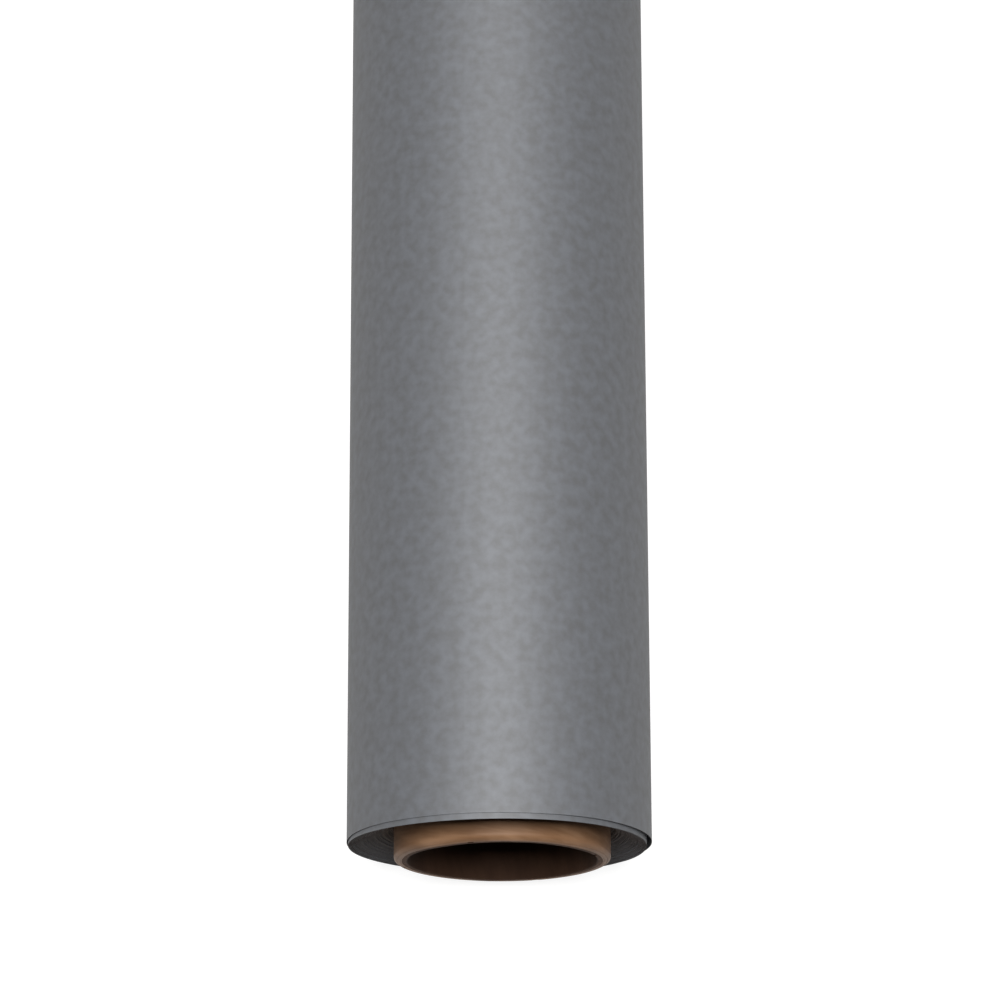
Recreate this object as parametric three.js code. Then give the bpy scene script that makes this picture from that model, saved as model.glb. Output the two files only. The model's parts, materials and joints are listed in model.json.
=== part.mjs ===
// Seamless backdrop paper roll, lying on its side: one long sheet of grey paper wound on a core of
// spiral-wound board. Millimetres, +Z up. The roll's axis runs along Y, and the origin is on the ground
// under the middle of the core.
// The wound turns have slipped endways, so the roll's ends are dished: the core and the turns next to it
// sit further along +Y than the outer turns. The outermost turn is loose, and its free end can be peeled
// off the roll.
import * as THREE from "three";

// Driving dimensions.
const PAPER_WIDTH = 1350; // the sheet's width, which every turn has
const ROLL_RADIUS = 44.2; // over the loose outermost turn
const CORE_BORE_RADIUS = 27.5;
const PLY_THICKNESS = 0.75; // one wound strip of core board
// From the bore outwards.
const PLY_NAMES = ["core_liner_ply", "core_body_ply_1", "core_body_ply_2", "core_outer_ply"];
const CORE_OVERHANG = 10; // how far the core stands out of the innermost turns at each end
const TELESCOPE = 5.4; // how far the core has slipped along +Y through the outer turns
const BANDS = 6; // groups of wound turns that slip on one another
const SHEET_THICKNESS = 0.35; // of the loose turn
const LOOSE_TURN_RECESS = 1; // how far the loose turn's -Y edge sits behind that of the turns under it
const GAP = 0.3; // between touching pieces
const CORE_OFFSET = 0.9; // the core's axis, along X from the loose turn's axis
const TURNS_OFFSET = -0.4; // the outermost wound turn's axis, so the loose turn stands off it at +X
const FLAT_ANGLE = 15; // degrees of the roll pressed flat by its own weight
const STRIP_LEAD = 160; // endways advance of a strip of core board in one turn, to the nearest step
const BLUNT_TIP = 0.5; // endways length of a strip's first and last edge, where the core's ends cut it
const SEAM_SPREAD = 90; // degrees between the seams of neighbouring plies at the core's end
const TAPES = 3;
const TAPE_WIDTH = 50; // along the core
const TAPE_THICKNESS = 0.3;
const TAPE_FROM = 97.5; // degrees round the core, from +X towards +Z
const TAPE_TO = 137.5;
const HINGES = 7; // the free end bends at these lines
const HINGE_ANGLE = 20; // degrees of the turn between two of them
const FIRST_HINGE = 92.5; // degrees, just past the top of the roll
const TURN_UNDER = 307.5; // degrees, where the loose turn dives under its own free end

// Outlines are polygons whose corners lie every STEP degrees, on the same lines for neighbours, so that
// gaps are even.
const STEP = 5;
const CORE_STEP = 10;
const FIRST_CORNER = 2.5;
const BOTTOM = 270;
const ANGLE_SLACK = STEP / 100; // allows for rounding where angles are compared

const plies = PLY_NAMES.length;
const coreRadius = CORE_BORE_RADIUS + plies * PLY_THICKNESS + (plies - 1) * GAP;
const coreLength = PAPER_WIDTH + 2 * CORE_OVERHANG;
const turnsOuterRadius = ROLL_RADIUS - SHEET_THICKNESS - GAP - Math.abs(TURNS_OFFSET);
const turnsInnerRadius = coreRadius + GAP;
const tapePocketRadius = coreRadius + 2 * GAP + TAPE_THICKNESS;
const axisHeight = ROLL_RADIUS * Math.cos(THREE.MathUtils.degToRad(FLAT_ANGLE / 2));

const PAPER = new THREE.MeshStandardMaterial({ color: 0x76777a, roughness: 0.9, metalness: 0 });
const BOARD = new THREE.MeshStandardMaterial({ color: 0x8b6b54, roughness: 0.8, metalness: 0 });
const LINER = new THREE.MeshStandardMaterial({ color: 0x5c4636, roughness: 0.85, metalness: 0 });
const TAPE = new THREE.MeshStandardMaterial({ color: 0xb59a72, roughness: 0.6, metalness: 0 });

function pointAt(angle, radius, centreX = 0) {
  const turn = THREE.MathUtils.degToRad(angle);
  return new THREE.Vector2(centreX + radius * Math.cos(turn), radius * Math.sin(turn));
}

// Corners on a circle from one angle to another, both included, without those inside the pressed flat.
function arc(from, to, radius, centreX = 0, pressed = false) {
  const points = [];
  for (let angle = from; angle <= to + ANGLE_SLACK; angle += STEP) {
    const inFlat = Math.abs(angle - BOTTOM) < FLAT_ANGLE / 2 - ANGLE_SLACK;
    if (!(pressed && inFlat)) points.push(pointAt(angle, radius, centreX));
  }
  return points;
}

function circle(radius, centreX = 0, pressed = false) {
  return arc(FIRST_CORNER, FIRST_CORNER + 360 - STEP, radius, centreX, pressed);
}

// A section drawn in X and Z, carried along Y from one place to another.
function along(name, material, outline, hole, from, to) {
  const shape = new THREE.Shape(outline);
  if (hole) shape.holes.push(new THREE.Path(hole));
  const geometry = new THREE.ExtrudeGeometry(shape, { depth: to - from, bevelEnabled: false });
  const mesh = new THREE.Mesh(geometry, material);
  mesh.name = name;
  mesh.rotation.x = Math.PI / 2;
  mesh.position.y = to;
  return mesh;
}

// The band between two arcs about the roll's axis, trimmed by half a gap at each end to clear a neighbour.
function strip(from, to, pressed = false) {
  const outer = arc(from, to, ROLL_RADIUS, 0, pressed);
  const inner = arc(from, to, ROLL_RADIUS - SHEET_THICKNESS, 0, pressed);
  for (const points of [outer, inner]) {
    const last = points.length - 1;
    const startEdge = points[1].clone().sub(points[0]).setLength(GAP / 2);
    const endEdge = points[last - 1].clone().sub(points[last]).setLength(GAP / 2);
    points[0].add(startEdge);
    points[last].add(endEdge);
  }
  return [...outer, ...inner.reverse()];
}

// A strip of board wound in a helix, edge to edge with its own next turn, cut square at the core's ends.
function woundStrip(name, material, innerRadius, seamAngle) {
  const sides = 360 / CORE_STEP;
  const stepsAlong = Math.round((coreLength / STRIP_LEAD) * sides);
  const advance = (coreLength - GAP - 2 * BLUNT_TIP) / stepsAlong;
  const reach = sides * advance - GAP;
  const steps = stepsAlong + sides;
  const geometry = new THREE.BoxGeometry(steps, 1, PLY_THICKNESS, steps, 1, 1);
  const position = geometry.getAttribute("position");
  for (let i = 0; i < position.count; i++) {
    const turned = Math.round(position.getX(i) + steps / 2);
    const low = BLUNT_TIP - reach + turned * advance;
    const edge = position.getY(i) < 0 ? low : low + reach;
    const radius = innerRadius + PLY_THICKNESS / 2 + position.getZ(i);
    const corner = pointAt(seamAngle - turned * CORE_STEP, radius);
    position.setXYZ(i, corner.x, THREE.MathUtils.clamp(edge, 0, coreLength) - coreLength / 2, corner.y);
  }
  const mesh = new THREE.Mesh(geometry, material);
  mesh.name = name;
  return mesh;
}

// The board core, with the tapes that hold the sheet's inner end on it. The plies' seams are staggered.
function core() {
  const group = new THREE.Group();
  group.position.x = CORE_OFFSET;
  PLY_NAMES.forEach((name, i) => {
    const radius = CORE_BORE_RADIUS + i * (PLY_THICKNESS + GAP);
    const material = i === 0 ? LINER : BOARD;
    group.add(woundStrip(name, material, radius, FIRST_CORNER + i * SEAM_SPREAD));
  });

  const tapeOutline = [
    ...arc(TAPE_FROM, TAPE_TO, coreRadius + GAP + TAPE_THICKNESS),
    ...arc(TAPE_FROM, TAPE_TO, coreRadius + GAP).reverse(),
  ];
  for (let i = 0; i < TAPES; i++) {
    const middle = PAPER_WIDTH * ((i + 0.5) / TAPES - 0.5);
    const name = `leader_tape_${i + 1}`;
    group.add(along(name, TAPE, tapeOutline, null, middle - TAPE_WIDTH / 2, middle + TAPE_WIDTH / 2));
  }
  return group;
}

// The hole in the innermost turns, with the step at the sheet's inner end where the tapes lie.
function innermostHole() {
  return [
    ...arc(TAPE_FROM - STEP, TAPE_TO + STEP, tapePocketRadius, CORE_OFFSET),
    ...arc(TAPE_TO + 2 * STEP, TAPE_FROM - 2 * STEP + 360, turnsInnerRadius, CORE_OFFSET),
  ];
}

// The wound turns as bands, from the core outwards. Each slips endways on the next, which steps the ends.
function woundTurns() {
  const group = new THREE.Group();
  const boundaryRadius = (i) => THREE.MathUtils.lerp(turnsInnerRadius, turnsOuterRadius + GAP, i / BANDS);
  const boundaryX = (i) => THREE.MathUtils.lerp(CORE_OFFSET, TURNS_OFFSET, i / BANDS);
  for (let i = 0; i < BANDS; i++) {
    const outermost = i === BANDS - 1;
    const slipped = (-TELESCOPE * i) / (BANDS - 1);
    group.add(
      along(
        `wound_turns_${i + 1}`,
        PAPER,
        circle(boundaryRadius(i + 1) - GAP, boundaryX(i + 1), outermost),
        i === 0 ? innermostHole() : circle(boundaryRadius(i), boundaryX(i)),
        slipped - PAPER_WIDTH / 2,
        slipped + PAPER_WIDTH / 2,
      ),
    );
  }
  return group;
}

// The loose outermost turn and its free end, a chain in which each length of paper bends on the one
// before it.
function looseTurn() {
  const group = new THREE.Group();
  const from = -TELESCOPE + LOOSE_TURN_RECESS - PAPER_WIDTH / 2;
  const to = from + PAPER_WIDTH;
  group.add(along("outer_turn", PAPER, strip(FIRST_HINGE, TURN_UNDER, true), null, from, to));

  let parent = group;
  let parentPlace = new THREE.Vector3();
  for (let i = 0; i < HINGES; i++) {
    const angle = FIRST_HINGE - i * HINGE_ANGLE;
    const corner = pointAt(angle, ROLL_RADIUS - SHEET_THICKNESS / 2);
    const place = new THREE.Vector3(corner.x, 0, corner.y);
    const hinge = new THREE.Group();
    hinge.position.copy(place).sub(parentPlace);
    const paper = along(`loose_end_${i + 1}`, PAPER, strip(angle - HINGE_ANGLE, angle), null, from, to);
    paper.position.sub(place);
    hinge.add(paper);
    parent.add(hinge);
    parent = hinge;
    parentPlace = place;
  }
  return group;
}

const roll = new THREE.Group();
roll.name = "backdrop_paper_roll";
roll.position.z = axisHeight;
roll.add(core(), woundTurns(), looseTurn());

export default roll;
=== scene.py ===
"""Looks of the backdrop paper roll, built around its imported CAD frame. Metres, +Z up.

The roll's axis runs along Y, and its near end is at -Y. Angles are in degrees about the axis, from +X
towards +Z.
"""

import json
import math
import random

import bpy
import numpy as np
from mathutils import Matrix, Vector


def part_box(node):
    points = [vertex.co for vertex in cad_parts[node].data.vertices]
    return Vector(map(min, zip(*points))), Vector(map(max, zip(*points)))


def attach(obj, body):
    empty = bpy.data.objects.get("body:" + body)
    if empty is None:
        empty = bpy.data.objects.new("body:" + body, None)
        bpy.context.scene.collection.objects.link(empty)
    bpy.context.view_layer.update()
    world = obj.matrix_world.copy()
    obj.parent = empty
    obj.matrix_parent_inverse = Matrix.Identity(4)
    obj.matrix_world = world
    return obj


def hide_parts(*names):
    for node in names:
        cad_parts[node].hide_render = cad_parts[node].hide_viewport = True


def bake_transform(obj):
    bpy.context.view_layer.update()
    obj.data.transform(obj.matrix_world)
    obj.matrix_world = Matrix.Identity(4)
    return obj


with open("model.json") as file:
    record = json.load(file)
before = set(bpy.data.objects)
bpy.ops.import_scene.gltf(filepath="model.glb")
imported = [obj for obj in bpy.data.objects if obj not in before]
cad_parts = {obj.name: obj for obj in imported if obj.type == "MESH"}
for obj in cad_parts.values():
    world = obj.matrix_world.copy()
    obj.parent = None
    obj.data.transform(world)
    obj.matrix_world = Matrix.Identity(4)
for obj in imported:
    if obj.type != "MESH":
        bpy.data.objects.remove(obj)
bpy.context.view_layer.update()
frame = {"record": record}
scene = bpy.context.scene

MM = 0.001
WHITE = (1.0, 1.0, 1.0, 1.0)

# The roll. Each band of wound turns moves with a body of its own, from the core outwards.
mounts = {m["name"]: m for m in frame["record"]["mounts"]}
CORE_AXIS = Vector(mounts["crossbar_bore"]["pos_m"])
AXIS_Z = CORE_AXIS.z
CORE_X = CORE_AXIS.x
CORE_HALF = mounts["core_end_far"]["pos_m"][1]
BORE_RADIUS = 27.5 * MM
CORE_RADIUS = 31.4 * MM
PAPER_WIDTH = 1350 * MM
SHEET = 0.2 * MM  # thickness
ROLL_RADIUS = 44.2 * MM
WHOLE_TURNS = 45
INNER_END = 117.5  # where the sheet starts on the core, under the tapes
BAND_BODIES = ("core", "turns_2", "turns_3", "turns_4", "turns_5", "outer_turns")
BANDS = len(BAND_BODIES)
LOOSE_NEAR_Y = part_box("outer_turn")[0].y
OUTER_NEAR_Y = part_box(f"wound_turns_{BANDS}")[0].y
INNER_NEAR_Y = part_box("wound_turns_1")[0].y
# The loose turn and the free end's hinges.
LEAVES_WRAP = -15  # where the loose turn leaves the wound turns
HINGES = 7
HINGE_ANGLE = 20
FIRST_HINGE = 92.5
FREE_EDGE = FIRST_HINGE - HINGES * HINGE_ANGLE
STAND_OFF = 1.22 * MM  # most that the loose turn stands off the wound turns, at +X
STAND_OFF_ENDS = 100  # the gap has closed this far from +X, on either side
STAND_OFF_POWER = 2.2  # a higher power keeps the gap closer to +X
CLOSE_FIT = 0.06 * MM  # gap under the loose turn elsewhere
# The bottom, pressed flat by the roll's weight.
SHOULDER = 0.03 * MM  # how softly the flat turns into the round
UNDERSIDE = 0.8  # the flat lies where the cosine of the angle from straight down is over this
NO_LIMIT = 1.0  # far outside the roll
NO_SOFTENING = 60  # shoulders away from the flat, where its softening is less than rounding

TURN_STEPS = 120  # rows of points in one wound turn
UV_NAME = "SheetUV"
SHEET_SHARP = 35  # edges that turn more than this stay sharp
PLY_SHARP = 50


# ---------------------------------------------------------------- meshes


def shell(name, turn, radii, y, uvs, centre_x, materials, sharp_angle):
    """A closed, smooth-shaded piece between its outer and its inner face, wound about a line along Y.
    Rows of points follow the winding, each at its turn in radians, and columns go along Y.
    The first material is on the two faces and the second on the edges."""
    rows, across = y.shape
    vertices = []
    for radius in radii:
        x = centre_x + radius * np.cos(turn)
        z = AXIS_Z + radius * np.sin(turn)
        vertices.append(np.stack([x, y, z], 2).reshape(-1, 3))
    outer = np.arange(rows * across).reshape(rows, across)
    inner = outer + rows * across
    faces, slots = [], []

    def add(a, b, c, d, slot):
        quads = np.stack([a, b, c, d], -1).reshape(-1, 4)
        faces.append(quads)
        slots.append(np.full(len(quads), slot, np.int32))

    # The angle falls from row to row, so these turn every face outwards.
    add(outer[:-1, :-1], outer[:-1, 1:], outer[1:, 1:], outer[1:, :-1], 0)
    add(inner[:-1, :-1], inner[1:, :-1], inner[1:, 1:], inner[:-1, 1:], 0)
    add(outer[:-1, 0], outer[1:, 0], inner[1:, 0], inner[:-1, 0], 1)
    add(outer[:-1, -1], inner[:-1, -1], inner[1:, -1], outer[1:, -1], 1)
    add(outer[0, :-1], inner[0, :-1], inner[0, 1:], outer[0, 1:], 1)
    add(outer[-1, :-1], outer[-1, 1:], inner[-1, 1:], inner[-1, :-1], 1)
    vertices, faces = np.concatenate(vertices), np.concatenate(faces)

    mesh = bpy.data.meshes.new(name)
    mesh.from_pydata([tuple(v) for v in vertices], [], [tuple(f) for f in faces])
    layer = mesh.uv_layers.new(name=UV_NAME)
    point_uvs = np.concatenate([uv.reshape(-1, 2) for uv in uvs]).astype(np.float32)
    layer.data.foreach_set("uv", point_uvs[faces.ravel()].ravel())
    for material in materials:
        mesh.materials.append(material)
    mesh.polygons.foreach_set("material_index", np.concatenate(slots))
    mesh.polygons.foreach_set("use_smooth", np.ones(len(faces), bool))
    mesh.set_sharp_from_angle(angle=math.radians(sharp_angle))
    mesh.validate()
    mesh.update()
    obj = bpy.data.objects.new(name, mesh)
    scene.collection.objects.link(obj)
    return obj


def sheet_solid(name, angles, outer, inner, lengths, near, far, columns, materials):
    """Paper or tape between two radii at each angle, from near to far along Y. lengths are measured
    along the sheet, and columns are shares of the way from its near edge to its far one."""
    across = len(columns)
    columns = columns[None, :]
    y = near[:, None] * (1 - columns) + far[:, None] * columns
    radii = [np.repeat(radius[:, None], across, 1) for radius in (outer, inner)]
    run = np.repeat(lengths[:, None], across, 1)
    uv = np.stack([run, np.broadcast_to(columns * PAPER_WIDTH, run.shape)], 2)
    turn = np.radians(angles)[:, None]
    return shell(name, turn, radii, y, (uv, uv), 0, materials, SHEET_SHARP)


def smoothstep(start, end, value):
    t = np.clip((np.asarray(value, float) - start) / (end - start), 0, 1)
    return t * t * (3 - 2 * t)


def circle_radius(angle, radius, centre_x):
    """Distance from the roll's axis to a circle about a point on X, in a direction."""
    turn = np.radians(angle)
    return centre_x * np.cos(turn) + np.sqrt(radius**2 - (centre_x * np.sin(turn)) ** 2)


def pressed(angle, radius):
    """The radius kept above the flat that the roll rests on, with a soft shoulder."""
    below = np.cos(np.radians(np.asarray(angle) - 270))
    limit = np.where(below > UNDERSIDE, AXIS_Z / np.maximum(below, UNDERSIDE), NO_LIMIT)
    least = np.minimum(radius, limit)
    shoulders = np.abs(radius - limit) / SHOULDER
    return least - SHOULDER * np.log1p(np.exp(-np.minimum(shoulders, NO_SOFTENING)))


def wrap_radius(angle):
    """Radius over the outermost wound turn, about the roll's axis."""
    from_widest = (np.asarray(angle) + 180) % 360 - 180
    gap_open = np.maximum(np.cos(90 / STAND_OFF_ENDS * np.radians(from_widest)), 0)
    under = pressed(angle, np.full_like(np.asarray(angle, float), ROLL_RADIUS)) - SHEET
    return under - CLOSE_FIT - STAND_OFF * gap_open**STAND_OFF_POWER


def waves(value, parts):
    """A sum of (amplitude, cycles, phase) sines."""
    value = np.asarray(value, float)
    return sum(
        amplitude * np.sin(2 * math.pi * (cycles * value + phase))
        for amplitude, cycles, phase in parts
    )


def seeded_waves(seed, amplitude, cycles):
    """Waves of falling amplitude at about the given cycles, with seeded phases."""
    fall = 0.6
    least, most = 0.85, 1.15
    draw = random.Random(seed)
    return [
        (amplitude / (1 + fall * i), count * draw.uniform(least, most), draw.random())
        for i, count in enumerate(cycles)
    ]


def closed_waves(seed, amplitude, cycles):
    """Seeded waves that meet themselves after one turn."""
    parts = seeded_waves(seed, amplitude, cycles)
    return [(height, round(count), phase) for height, count, phase in parts]


# ---------------------------------------------------------------- materials


class Nodes:
    """Short calls for one material's node tree."""

    def __init__(self, name):
        self.material = bpy.data.materials.new(name)
        self.material.use_nodes = True
        self.tree = self.material.node_tree
        self.shader = self.tree.nodes["Principled BSDF"]

    def node(self, kind, **inputs):
        node = self.tree.nodes.new(kind)
        for key, value in inputs.items():
            self.put(node, key.replace("_", " "), value)
        return node

    def put(self, node, key, value):
        socket = node.inputs[key]
        if isinstance(value, bpy.types.NodeSocket):
            self.tree.links.new(value, socket)
        else:
            socket.default_value = value

    def object_coordinates(self):
        return self.node("ShaderNodeTexCoord").outputs["Object"]

    def sheet_coordinates(self):
        node = self.tree.nodes.new("ShaderNodeUVMap")
        node.uv_map = UV_NAME
        return node.outputs["UV"]

    def slanted(self, degrees):
        """Coordinates on the core's wall whose X runs round it, with a slant towards its axis."""
        node = self.tree.nodes.new("ShaderNodeMapping")
        self.put(node, "Vector", self.sheet_coordinates())
        node.inputs["Rotation"].default_value = (0, 0, -math.radians(degrees))
        return node.outputs["Vector"]

    def scaled(self, vector, x, y, z):
        node = self.tree.nodes.new("ShaderNodeMapping")
        self.put(node, "Vector", vector)
        node.inputs["Scale"].default_value = (x, y, z)
        return node.outputs["Vector"]

    def noise(self, vector, scale, detail, roughness, distortion=0.0):
        node = self.node(
            "ShaderNodeTexNoise",
            Vector=vector,
            Scale=scale,
            Detail=detail,
            Roughness=roughness,
            Distortion=distortion,
        )
        return node.outputs["Fac"]

    def ramp(self, value, *stops):
        """Colours at the given places, as (place, colour) pairs."""
        node = self.node("ShaderNodeValToRGB", Fac=value)
        elements = node.color_ramp.elements
        while len(elements) < len(stops):
            elements.new(0.5)  # placed below
        for element, (place, colour) in zip(elements, stops):
            element.position = place
            element.color = (*colour, 1.0)
        return node.outputs["Color"]

    def spread(self, value, source, target):
        """The value carried from the source range to the target range, and held at its ends."""
        node = self.node("ShaderNodeMapRange", Value=value)
        node.inputs["From Min"].default_value = source[0]
        node.inputs["From Max"].default_value = source[1]
        node.inputs["To Min"].default_value = target[0]
        node.inputs["To Max"].default_value = target[1]
        return node.outputs["Result"]

    def maths(self, operation, a, b=0.0):
        node = self.tree.nodes.new("ShaderNodeMath")
        node.operation = operation
        self.put(node, 0, a)
        self.put(node, 1, b)
        return node.outputs["Value"]

    def weighted(self, *parts):
        """The sum of (value, weight) pairs."""
        products = [self.maths("MULTIPLY", value, weight) for value, weight in parts]
        total = products[0]
        for product in products[1:]:
            total = self.maths("ADD", total, product)
        return total

    def mix(self, factor, a, b, blend="MIX"):
        node = self.tree.nodes.new("ShaderNodeMix")
        node.data_type = "RGBA"
        node.blend_type = blend
        self.put(node, "Factor", factor)
        sockets = [s for s in node.inputs if s.type == "RGBA"]
        for socket, value in zip(sockets, (a, b)):
            if isinstance(value, bpy.types.NodeSocket):
                self.tree.links.new(value, socket)
            else:
                socket.default_value = (*value, 1.0)
        return [s for s in node.outputs if s.type == "RGBA"][0]

    def bump(self, height, distance, strength):
        node = self.node("ShaderNodeBump", Height=height, Distance=distance, Strength=strength)
        return node.outputs["Normal"]

    def finish(self, **inputs):
        for key, value in inputs.items():
            self.put(self.shader, key.replace("_", " "), value)
        return self.material


def paper_face():
    look = Nodes("backdrop_paper_face")
    sheet = look.sheet_coordinates()
    clouds = look.noise(sheet, scale=105, detail=1, roughness=0.5)
    mottle = look.noise(sheet, scale=300, detail=1, roughness=0.55)
    grain = look.noise(sheet, scale=1500, detail=1, roughness=0.5)
    tone = look.weighted((clouds, 0.08), (mottle, 0.74), (grain, 0.18))
    dark = (0.0765, 0.0785, 0.083)
    pale = (0.0995, 0.1055, 0.118)
    height = look.weighted((grain, 0.4), (mottle, 0.6))
    return look.finish(
        Base_Color=look.ramp(tone, (0.34, dark), (0.66, pale)),
        Roughness=look.spread(tone, (0.35, 0.65), (0.641, 0.627)),
        Specular_IOR_Level=0.94,
        Normal=look.bump(height, distance=0.03 * MM, strength=0.5),
    )


def paper_edge():
    look = Nodes("backdrop_paper_cut_edge")
    place = look.object_coordinates()
    fibres = look.noise(look.scaled(place, 1, 0.3, 1), scale=1500, detail=3, roughness=0.6)
    # Darker than the paper's face: painted shade of the gaps between the turns.
    dark = (0.038, 0.0325, 0.0300)
    pale = (0.066, 0.0575, 0.0535)
    colour = look.ramp(fibres, (0.3, dark), (0.7, pale))
    # The outer turns' edges are darker and the inner ones lighter and browner: painted shade towards
    # the outside, and painted light with the core's brown cast towards the inside.
    from_axis = look.node("ShaderNodeVectorMath", Vector=look.scaled(place, 1, 0, 1))
    from_axis.operation = "SUBTRACT"
    from_axis.inputs[1].default_value = (0, 0, AXIS_Z)
    distance = look.node("ShaderNodeVectorMath", Vector=from_axis.outputs["Vector"])
    distance.operation = "LENGTH"
    outwards = look.spread(distance.outputs["Value"], (CORE_RADIUS, ROLL_RADIUS), (0, 1))
    painted_light_near_core = (1.7, 1.4, 1.15)
    painted_light_between = (1.25, 1.15, 1.12)
    painted_shade_outside = (0.74, 0.70, 0.70)
    painted_light_and_shade = look.ramp(outwards, (0.0, painted_light_near_core), (0.35, painted_light_between), (0.9, painted_shade_outside))
    return look.finish(
        Base_Color=look.mix(1.0, colour, painted_light_and_shade, "MULTIPLY"),
        Roughness=0.9,
        Specular_IOR_Level=0.12,
        Normal=look.bump(fibres, distance=0.05 * MM, strength=0.5),
    )


# Handling rubs the core near its ends, and a painted highlight lies along them, up to one distance from
# them and less and less up to another.
RUBBED_AND_HIGHLIT_TO = 2.2 * MM
PLAIN_FROM = 4.2 * MM
RUBBED_AND_HIGHLIT_UNEVENLY = 2.4 * MM


def board_face():
    look = Nodes("core_board_face")
    place = look.object_coordinates()
    wound = look.scaled(look.slanted(8), 0.13, 1, 1)
    streaks = look.noise(wound, scale=420, detail=3, roughness=0.55, distortion=0.2)
    patches = look.noise(place, scale=85, detail=2, roughness=0.5)
    specks = look.noise(place, scale=2300, detail=1, roughness=0.5)
    tone = look.weighted((streaks, 0.6), (patches, 0.4))
    dark = (0.106, 0.051, 0.022)
    middling = (0.150, 0.077, 0.037)
    pale = (0.200, 0.110, 0.058)
    colour = look.ramp(tone, (0.34, dark), (0.5, middling), (0.66, pale))
    flecks = look.ramp(specks, (0.0, (0.55, 0.52, 0.5)), (0.36, (1, 1, 1)))
    colour = look.mix(0.5, colour, flecks, "MULTIPLY")
    # Rubbed smoother where it is handled along the core's ends, and paler there: a painted highlight.
    along = look.node("ShaderNodeSeparateXYZ", Vector=place).outputs["Y"]
    to_end = look.maths("SUBTRACT", CORE_HALF, look.maths("ABSOLUTE", along))
    uneven = look.maths("ADD", to_end, look.maths("MULTIPLY", streaks, RUBBED_AND_HIGHLIT_UNEVENLY))
    rubbed = look.spread(uneven, (RUBBED_AND_HIGHLIT_TO, PLAIN_FROM), (1, 0))
    painted_highlight = look.mix(1.0, colour, (1.08, 1.08, 1.08), "MULTIPLY")
    return look.finish(
        Base_Color=look.mix(rubbed, colour, painted_highlight),
        Roughness=look.spread(rubbed, (0, 1), (0.66, 0.54)),
        Specular_IOR_Level=0.25,
        Normal=look.bump(streaks, distance=0.06 * MM, strength=0.5),
    )


def board_rim():
    look = Nodes("core_board_cut_end")
    place = look.object_coordinates()
    endways = look.scaled(place, 1, 0.4, 1)
    fibres = look.noise(endways, scale=1300, detail=4, roughness=0.65, distortion=0.8)
    patches = look.noise(place, scale=160, detail=2, roughness=0.5)
    tone = look.weighted((fibres, 0.6), (patches, 0.4))
    # Darker than the board's face: painted shade of the core's cut end.
    dark = (0.052, 0.0285, 0.0190)
    pale = (0.108, 0.0620, 0.0420)
    return look.finish(
        Base_Color=look.ramp(tone, (0.34, dark), (0.66, pale)),
        Roughness=0.85,
        Specular_IOR_Level=0.12,
        Normal=look.bump(fibres, distance=0.15 * MM, strength=0.8),
    )


def liner_face():
    look = Nodes("core_liner_face")
    wound = look.scaled(look.slanted(80), 0.3, 1, 1)
    fibres = look.noise(wound, scale=260, detail=3, roughness=0.55, distortion=0.2)
    patches = look.noise(look.object_coordinates(), scale=60, detail=2, roughness=0.5)
    tone = look.weighted((fibres, 0.5), (patches, 0.5))
    # Far darker than the board outside: painted shade of the bore.
    dark = (0.0265, 0.0120, 0.0064)
    pale = (0.051, 0.0255, 0.0145)
    return look.finish(
        Base_Color=look.ramp(tone, (0.30, dark), (0.70, pale)),
        Roughness=0.8,
        Specular_IOR_Level=0.15,
        Normal=look.bump(fibres, distance=0.08 * MM, strength=0.6),
    )


def tape_face():
    look = Nodes("leader_tape_face")
    across = look.scaled(look.object_coordinates(), 1, 0.25, 1)
    crepe = look.noise(across, scale=1100, detail=3, roughness=0.5, distortion=1.2)
    dark = (0.40, 0.28, 0.15)
    pale = (0.52, 0.38, 0.22)
    return look.finish(
        Base_Color=look.ramp(crepe, (0.3, dark), (0.7, pale)),
        Roughness=look.spread(crepe, (0.3, 0.7), (0.45, 0.6)),
        Normal=look.bump(crepe, distance=0.1 * MM, strength=0.8),
    )


def floor_finish():
    """A pale floor. It glows, so that only a faint shadow shows on it, and it glows more for the camera
    than for the roll."""
    look = Nodes("studio_floor")
    for_camera = look.node("ShaderNodeLightPath").outputs["Is Camera Ray"]
    patches = look.noise(look.object_coordinates(), scale=3, detail=3, roughness=0.5)
    dark = (0.21, 0.207, 0.20)
    pale = (0.23, 0.227, 0.22)
    return look.finish(
        Base_Color=look.ramp(patches, (0.3, dark), (0.7, pale)),
        Roughness=0.9,
        Specular_IOR_Level=0.0,
        Emission_Color=WHITE,
        Emission_Strength=look.spread(for_camera, (0, 1), (0.63, 0.90)),
    )


# What is on a piece's faces, then what is on its edges.
PAPER = [paper_face(), paper_edge()]
BOARD = [board_face(), board_rim()]
LINER = [liner_face(), BOARD[1]]
TAPE = [tape_face()] * 2


# ---------------------------------------------------------------- the sheet, wound on the core


TIGHT_START = INNER_END + 360 * WHOLE_TURNS
TIGHT_TURNS = (TIGHT_START - LEAVES_WRAP) / 360
WOUND_COLUMNS = np.linspace(0, 1, 3)
CORE_FIT = 0.02 * MM  # gap between the core and the sheet
CLIMB = 0.14 * MM  # how far the second turn climbs over the sheet's start and the tapes on it
CLIMB_FROM = 0.45  # turns along the sheet where it starts to climb

# The near end isn't quite square: the outer turns stand further out at the top than at the bottom.
END_OUT = 0.39 * MM
END_TILT = 0.68 * MM
END_TILT_ANGLE = 80
END_BOW = 0.23 * MM
END_BOW_ANGLE = 32
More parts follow.
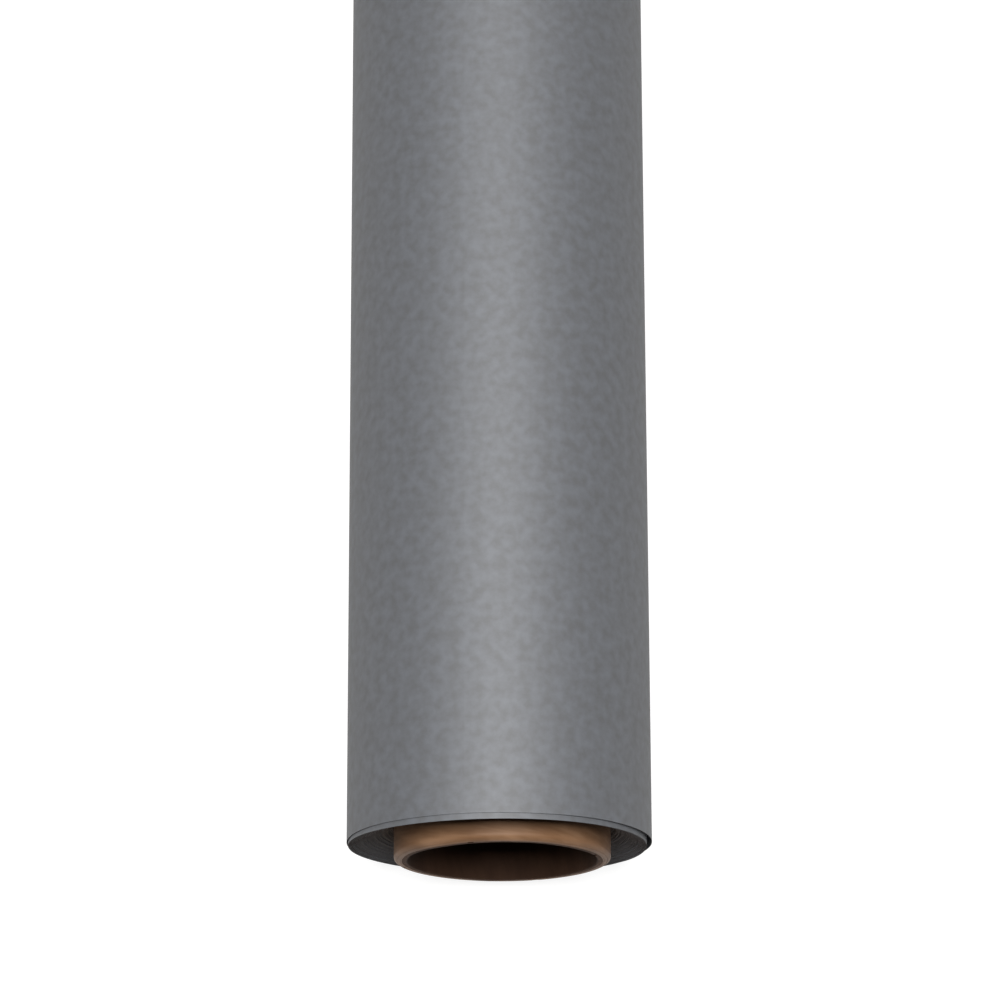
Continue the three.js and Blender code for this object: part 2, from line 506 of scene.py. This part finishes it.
# Nor is it smooth. Shares of the turns run from 0 at the core to 1 where the loose turn starts.
SLIP_WAVES = seeded_waves(seed=11, amplitude=0.10 * MM, cycles=(0.23, 0.61, 1.13, 2.2))
TURN_SPREAD = 0.04  # millimetres that a single turn may lie in or out
TURN_DRAW = random.Random(29)
TURN_SETS = [
    TURN_DRAW.uniform(-TURN_SPREAD, TURN_SPREAD) * MM for _ in range(math.ceil(TIGHT_TURNS) + 1)
]
PROUD = 0.45 * MM  # a few turns stand out of their neighbours
PROUD_FROM = (0.10, 0.13)
PROUD_TO = (0.20, 0.26)
CALM_FROM = 0.97  # the last turns lie evenly, where the loose turn starts
NICK_DEPTH = 3 * MM  # the innermost turns are pushed in at one place
NICK_ANGLE = 164
NICK_SPREAD = 5
NICK_TO = (0.07, 0.12)


def wound_radius(angle):
    """Middle of the sheet's thickness, from the core outwards."""
    turns = (TIGHT_START - angle) / 360
    share = turns / TIGHT_TURNS
    start = circle_radius(angle, CORE_RADIUS, CORE_X) + SHEET / 2 + CORE_FIT
    climb = CLIMB * smoothstep(CLIMB_FROM, 1, turns)
    finish = wrap_radius(angle) - SHEET / 2
    return start + (finish - start) * share + climb * (1 - share)


def wound_near_edge(angle):
    """Y of the sheet's near edge: the turns have slipped along the core, and none lies quite level."""
    turns = (TIGHT_START - angle) / 360
    share = turns / TIGHT_TURNS
    level = INNER_NEAR_Y + (OUTER_NEAR_Y - INNER_NEAR_Y) * share
    sets = np.interp(turns, np.arange(len(TURN_SETS)), TURN_SETS)
    proud = -PROUD * (smoothstep(*PROUD_FROM, share) - smoothstep(*PROUD_TO, share))
    calm = 1 - smoothstep(CALM_FROM, 1, share)
    tilt = END_TILT * np.cos(np.radians(angle - END_TILT_ANGLE))
    bow = END_BOW * np.cos(2 * np.radians(angle - END_BOW_ANGLE))
    outwards = (bow - tilt - END_OUT) * share
    aside = (np.asarray(angle) - NICK_ANGLE + 180) % 360 - 180
    nick = NICK_DEPTH * np.exp(-((aside / NICK_SPREAD) ** 2)) * (1 - smoothstep(*NICK_TO, share))
    return level + outwards + nick + (waves(turns, SLIP_WAVES) + sets + proud) * calm


def running_lengths(angles, radii, start):
    """Length along the sheet at each row, from a start at the first."""
    turn = np.radians(angles)
    x, z = radii * np.cos(turn), radii * np.sin(turn)
    steps = np.hypot(np.diff(x), np.diff(z))
    return start + np.concatenate([[0], np.cumsum(steps)])


def make_wound_turns():
    """A piece for each band of turns, all on one spiral. Returns the sheet's length so far."""
    run = 0.0
    for band, body in enumerate(BAND_BODIES):
        first = TIGHT_START - 360 * TIGHT_TURNS * band / BANDS
        last = TIGHT_START - 360 * TIGHT_TURNS * (band + 1) / BANDS
        steps = round((first - last) / 360 * TURN_STEPS)
        angles = np.linspace(first, last, steps + 1)
        middle = wound_radius(angles)
        lengths = running_lengths(angles, middle, run)
        run = lengths[-1]
        near = wound_near_edge(angles)
        piece = sheet_solid(
            f"paper_turns_{band + 1}",
            angles,
            middle + SHEET / 2,
            middle - SHEET / 2,
            lengths,
            near,
            near + PAPER_WIDTH,
            WOUND_COLUMNS,
            PAPER,
        )
        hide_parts(f"wound_turns_{band + 1}")
        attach(piece, body)
    return run


# ---------------------------------------------------------------- the loose turn and its free end


EDGE_COLUMNS = np.array([0, 0.0006, 0.002, 0.005])
MIDDLE_COLUMNS = np.linspace(0.012, 0.988, 40)
LOOSE_COLUMNS = np.concatenate([EDGE_COLUMNS, MIDDLE_COLUMNS, 1 - EDGE_COLUMNS[::-1]])
LOOSE_STEPS = 2 * TURN_STEPS
LOOSE_WAVES = seeded_waves(seed=5, amplitude=0.05 * MM, cycles=(1.7, 3.9, 7.3))
LOOSE_OUT = 0.2 * MM  # how far its near edge stands out of the CAD model's
LOOSE_TILT = 0.25 * MM  # and how much further at the top
SETTLED = LEAVES_WRAP - 60  # here its near edge has left that of the wound turns
END_FIT = 0.03 * MM  # gap between the loose turn and its own free end
RISES = FREE_EDGE - 2  # just past the free end's edge, the loose turn rises from under it
RISEN = FREE_EDGE - 16


def loose_outer(angle):
    """Radius over the loose turn. It leaves the wound turns, passes under its own free end and rises to
    the roll's full radius."""
    angle = np.asarray(angle, float)
    leaving = wound_radius(np.full_like(angle, LEAVES_WRAP)) + SHEET / 2
    under_end = ROLL_RADIUS - SHEET - END_FIT
    radius = leaving + (under_end - leaving) * smoothstep(LEAVES_WRAP, RISES, angle)
    radius = radius + (ROLL_RADIUS - under_end) * smoothstep(RISES, RISEN, angle)
    return pressed(angle, radius)


def make_loose_piece(name, first, last, run):
    """A length of the loose turn between two angles."""
    steps = round((first - last) / 360 * LOOSE_STEPS)
    angles = np.linspace(first, last, steps + 1)
    outer = loose_outer(angles)
    lengths = running_lengths(angles, outer - SHEET / 2, run)
    settle = smoothstep(LEAVES_WRAP, SETTLED, angles)
    level = LOOSE_NEAR_Y - LOOSE_OUT - LOOSE_TILT * np.sin(np.radians(angles))
    start = wound_near_edge(np.full_like(angles, LEAVES_WRAP))
    near = start + (level + waves(angles / 360, LOOSE_WAVES) - start) * settle
    piece = sheet_solid(
        name,
        angles,
        outer,
        outer - SHEET,
        lengths,
        near,
        near + PAPER_WIDTH,
        LOOSE_COLUMNS,
        PAPER,
    )
    return piece, lengths[-1]


def make_loose_turn(run):
    """The part that stays on the roll, then a piece over each hinge of the free end."""
    first_bend = FIRST_HINGE - 360 + HINGE_ANGLE / 2
    piece, run = make_loose_piece("paper_loose_turn", LEAVES_WRAP, first_bend, run)
    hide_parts("outer_turn")
    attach(piece, "outer_turns")
    for i in range(HINGES):
        start = first_bend - i * HINGE_ANGLE
        end = start - HINGE_ANGLE
        edge = FREE_EDGE - 360 if i == HINGES - 1 else end
        piece, run = make_loose_piece(f"paper_free_end_{i + 1}", start, edge, run)
        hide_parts(f"loose_end_{i + 1}")
        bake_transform(piece)
    return run


# ---------------------------------------------------------------- the core


# From the bore outwards: piece, CAD node, materials, slot, and rounding of its inner edge at the ends.
PLIES = (
    ("core_ply_liner", "core_liner_ply", LINER, "core_liner", 0.35 * MM),
    ("core_ply_body_1", "core_body_ply_1", BOARD, "core_board", 0),
    ("core_ply_body_2", "core_body_ply_2", BOARD, "core_board", 0),
    ("core_ply_outer", "core_outer_ply", BOARD, "core_board", 0),
)
PLY = (CORE_RADIUS - BORE_RADIUS) / len(PLIES)
PLY_GAP = 0.012 * MM
CORE_STEPS = 90  # rows of points in one turn
STRIP_LEAD = 160 * MM  # endways advance of a strip of core board in one turn
SEAM = 0.06 * MM  # between a strip's edge and its own next turn
SEAM_ROUND = 0.1 * MM
SEAM_ANGLE = 20
SEAM_SPREAD = 90  # the plies' seams are staggered
TIP = 0.2 * MM  # least width of a strip where the core's end cuts it
# Columns of points lie this far from a strip's edges, or closer where it is narrower than the room that
# they take.
EDGE_OFFSETS = np.array([0, 0.04, 0.12, 0.25, 0.42, 0.65, 0.95, 1.3, 1.7, 5]) * MM
ROOM = 2.2 * EDGE_OFFSETS[-1]
ON_EDGE = 1e-9  # closer to the edge than this is on it
END_WAVES = closed_waves(seed=3, amplitude=0.07 * MM, cycles=(1, 3, 5, 9, 17))
END_STEP = 0.02 * MM  # every other ply is cut this much shorter
OUT_OF_ROUND = closed_waves(seed=8, amplitude=0.07 * MM, cycles=(2, 3, 5))
ROUND_AGAIN = 9 * MM  # it fades with this distance from the core's ends
WORN_DEEP = 2.3 * MM  # the rubbed corner of the board, measured across the wall
WORN_ALONG = 1.9 * MM  # and along the core
WEAR_SWING = 0.4  # the share of that by which it is shorter halfway down than at the top
THIN_END = 0.06 * MM  # least thickness of a ply where the rubbed corner cuts it to an edge


def worn_setback(radius, along):
    """How far from the core's end the rubbed corner lies, at a radius inside the wall."""
    over = np.clip((radius - (CORE_RADIUS - WORN_DEEP)) / WORN_DEEP, 0, 1)
    return along * (1 - np.sqrt(1 - over**2))


def worn_radius(distance, along):
    """The rubbed corner's radius at a distance from the core's end."""
    left = np.clip(1 - distance / along, 0, 1)
    return CORE_RADIUS - WORN_DEEP * (1 - np.sqrt(1 - left**2))


def fillet(distance, radius):
    """How far a rounded edge falls away at a distance from the edge."""
    inside = np.clip(radius - distance, 0, radius)
    return radius - np.sqrt(radius**2 - inside**2)


def make_ply(index, name, node, materials, slot, inner_round):
    """A strip of board wound in a helix, its edges meeting in a seam, cut square at the core's ends."""
    length = 2 * CORE_HALF
    steps = math.ceil((length / STRIP_LEAD + 1) * CORE_STEPS)
    place = np.arange(steps + 1)
    degrees = SEAM_ANGLE + SEAM_SPREAD * index - place * 360 / CORE_STEPS
    turn = np.radians(degrees)
    inner = BORE_RADIUS + PLY * index + (PLY_GAP if index else 0)
    outer = BORE_RADIUS + PLY * (index + 1)
    worn_along = WORN_ALONG * (1 - WEAR_SWING * (1 - np.sin(turn)))
    setback = worn_setback(inner, worn_along)

    # The strip's two edges, which the core's ends cut, in the rows where any of it is left.
    low = (place - CORE_STEPS) * STRIP_LEAD / CORE_STEPS
    high = low + STRIP_LEAD - SEAM
    at_low_end = low < setback + TIP
    at_high_end = high > length - setback - TIP
    keep = (high > setback + TIP) & (low < length - setback - TIP)
    low = np.where(at_low_end, setback, low)
    high = np.where(at_high_end, length - setback, high)
    rows_kept = (low, high, at_low_end, at_high_end, degrees, turn, worn_along, setback)
    low, high, at_low_end, at_high_end, degrees, turn, worn_along, setback = (
        values[keep][:, None] for values in rows_kept
    )

    fit = np.minimum(1, (high - low) / ROOM)
    y = np.concatenate([low + EDGE_OFFSETS * fit, high - EDGE_OFFSETS[::-1] * fit], 1)
    low_half = np.arange(y.shape[1])[None, :] < len(EDGE_OFFSETS)
    from_edge = np.where(low_half, y - low, high - y)
    at_end = np.where(low_half, at_low_end, at_high_end)

    cut = waves(degrees / 360, END_WAVES) + END_STEP * (index % 2)
    y = y + np.where(at_end & (from_edge < ON_EDGE), cut * np.where(low_half, 1, -1), 0)
    crushed = waves(degrees / 360, OUT_OF_ROUND) * np.exp(-np.minimum(y, length - y) / ROUND_AGAIN)
    seam_fall = np.where(at_end, 0, fillet(from_edge, SEAM_ROUND))
    rubbed = np.where(at_end, worn_radius(from_edge + setback, worn_along), CORE_RADIUS)
    rounded = np.where(at_end, fillet(from_edge, inner_round), 0)
    outer = np.clip(np.minimum(outer, rubbed) - seam_fall, inner + THIN_END, outer) + crushed
    inner = inner + crushed + rounded + seam_fall
    uvs = [np.stack([radius * np.abs(turn), y], 2) for radius in (outer, inner)]
    piece = shell(name, turn, (outer, inner), y - CORE_HALF, uvs, CORE_X, materials, PLY_SHARP)
    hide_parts(node)
    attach(piece, "core")


def make_core():
    for index, ply in enumerate(PLIES):
        make_ply(index, *ply)


# ---------------------------------------------------------------- the leader tapes


TAPES = 3
TAPE_HALF = 20  # degrees, to either side of the sheet's inner end
TAPE_THICKNESS = 0.1 * MM
TAPE_COLUMNS = np.linspace(0, 1, 5)
TAPE_FIT = 0.01 * MM  # gap under the tape on the board
TAPE_CLIMB = SHEET + 0.03 * MM  # from the board to the paper
BRIDGE = (INNER_END + 1.2, INNER_END - 0.2)  # where it climbs
TAPE_INSET = 0.2 * MM  # from the sides of the CAD model's tape
RIPPLE_SEED = 40
TORN_SEED = 60


def make_tapes():
    """Tapes that hold the sheet's inner end on the core, half on the board and half on the paper."""
    for i in range(TAPES):
        node = f"leader_tape_{i + 1}"
        low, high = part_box(node)
        angles = np.linspace(INNER_END + TAPE_HALF, INNER_END - TAPE_HALF, 2 * TAPE_HALF + 1)
        along = angles / (2 * TAPE_HALF)
        climb = TAPE_CLIMB * smoothstep(*BRIDGE, angles)
        inner = circle_radius(angles, CORE_RADIUS, CORE_X) + TAPE_FIT + climb
        ripple = waves(along, seeded_waves(RIPPLE_SEED + i, amplitude=0.006 * MM, cycles=(9, 15)))
        torn = waves(along, seeded_waves(TORN_SEED + i, amplitude=0.0375 * MM, cycles=(7, 13, 21)))
        piece = sheet_solid(
            f"leader_tape_strip_{i + 1}",
            angles,
            inner + TAPE_THICKNESS + ripple,
            inner,
            running_lengths(angles, inner, 0),
            low.y + TAPE_INSET + torn,
            high.y - TAPE_INSET + torn,
            TAPE_COLUMNS,
            TAPE,
        )
        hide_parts(node)
        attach(piece, "core")


sheet_length = make_loose_turn(make_wound_turns())
make_core()
make_tapes()


# ---------------------------------------------------------------- the studio


FLOOR_REACH = 8.0
LIGHT_HEIGHT = 1.85
LIGHT_WIDTH = 0.98
SURROUND_LIGHT = (1.0, 0.985, 0.97, 1.0)
SURROUND_STRENGTH = 0.05
SURROUND_SEEN = (0.92, 0.92, 0.92, 1.0)
SENSOR_WIDTH = 36  # millimetres, as Blender has it
VIEW_ANGLE = 14.14
CLIP_START = 0.05
CLIP_END = 50
CAMERA_BEFORE_EDGE = 232.9 * MM
CAMERA_ABOVE_AXIS = 1149.2 * MM
CAMERA_ASIDE = 6.4 * MM
PITCH, YAW, ROLL = 16.347, 0.276, -0.244


def make_floor():
    mesh = bpy.data.meshes.new("studio_floor")
    sides = ((-1, -1), (1, -1), (1, 1), (-1, 1))
    mesh.from_pydata([(x * FLOOR_REACH, y * FLOOR_REACH, 0) for x, y in sides], [], [(0, 1, 2, 3)])
    mesh.materials.append(floor_finish())
    floor = bpy.data.objects.new("studio_floor", mesh)
    scene.collection.objects.link(floor)


def make_light(name, y, length, power):
    """A rectangular light over the roll, which faces down."""
    light = bpy.data.lights.new(name, "AREA")
    light.shape = "RECTANGLE"
    light.size = LIGHT_WIDTH
    light.size_y = length
    light.energy = power
    obj = bpy.data.objects.new(name, light)
    scene.collection.objects.link(obj)
    obj.location = (0, y, LIGHT_HEIGHT)


def make_surround():
    """The studio's walls look pale to the camera, but light the roll only a little."""
    world = bpy.data.worlds.new("studio_surround")
    scene.world = world
    world.use_nodes = True
    nodes, links = world.node_tree.nodes, world.node_tree.links
    lighting = nodes["Background"]
    lighting.inputs["Color"].default_value = SURROUND_LIGHT
    lighting.inputs["Strength"].default_value = SURROUND_STRENGTH
    walls = nodes.new("ShaderNodeBackground")
    walls.inputs["Color"].default_value = SURROUND_SEEN
    path = nodes.new("ShaderNodeLightPath")
    either = nodes.new("ShaderNodeMixShader")
    links.new(path.outputs["Is Camera Ray"], either.inputs["Fac"])
    links.new(lighting.outputs["Background"], either.inputs[1])
    links.new(walls.outputs["Background"], either.inputs[2])
    links.new(either.outputs["Shader"], nodes["World Output"].inputs["Surface"])


def make_camera():
    camera = bpy.data.cameras.new("camera")
    camera.sensor_width = SENSOR_WIDTH
    camera.angle = math.radians(VIEW_ANGLE)
    camera.clip_start = CLIP_START
    camera.clip_end = CLIP_END
    camera.dof.use_dof = False
    obj = bpy.data.objects.new("camera", camera)
    scene.collection.objects.link(obj)
    place = Vector((CAMERA_ASIDE, OUTER_NEAR_Y - CAMERA_BEFORE_EDGE, AXIS_Z + CAMERA_ABOVE_AXIS))
    turned = (
        Matrix.Rotation(math.radians(PITCH), 4, "X")
        @ Matrix.Rotation(math.radians(YAW), 4, "Y")
        @ Matrix.Rotation(math.radians(ROLL), 4, "Z")
    )
    obj.matrix_world = Matrix.Translation(place) @ turned
    scene.camera = obj


make_floor()
make_light("overhead_strip", y=-0.705, length=0.55, power=50)
make_light("overhead_strip_far", y=1.1, length=1.4, power=12.7)
make_surround()
make_camera()
scene.view_settings.view_transform = "Standard"
scene.view_settings.look = "None"

print(f"sheet length {sheet_length:.3f} m")
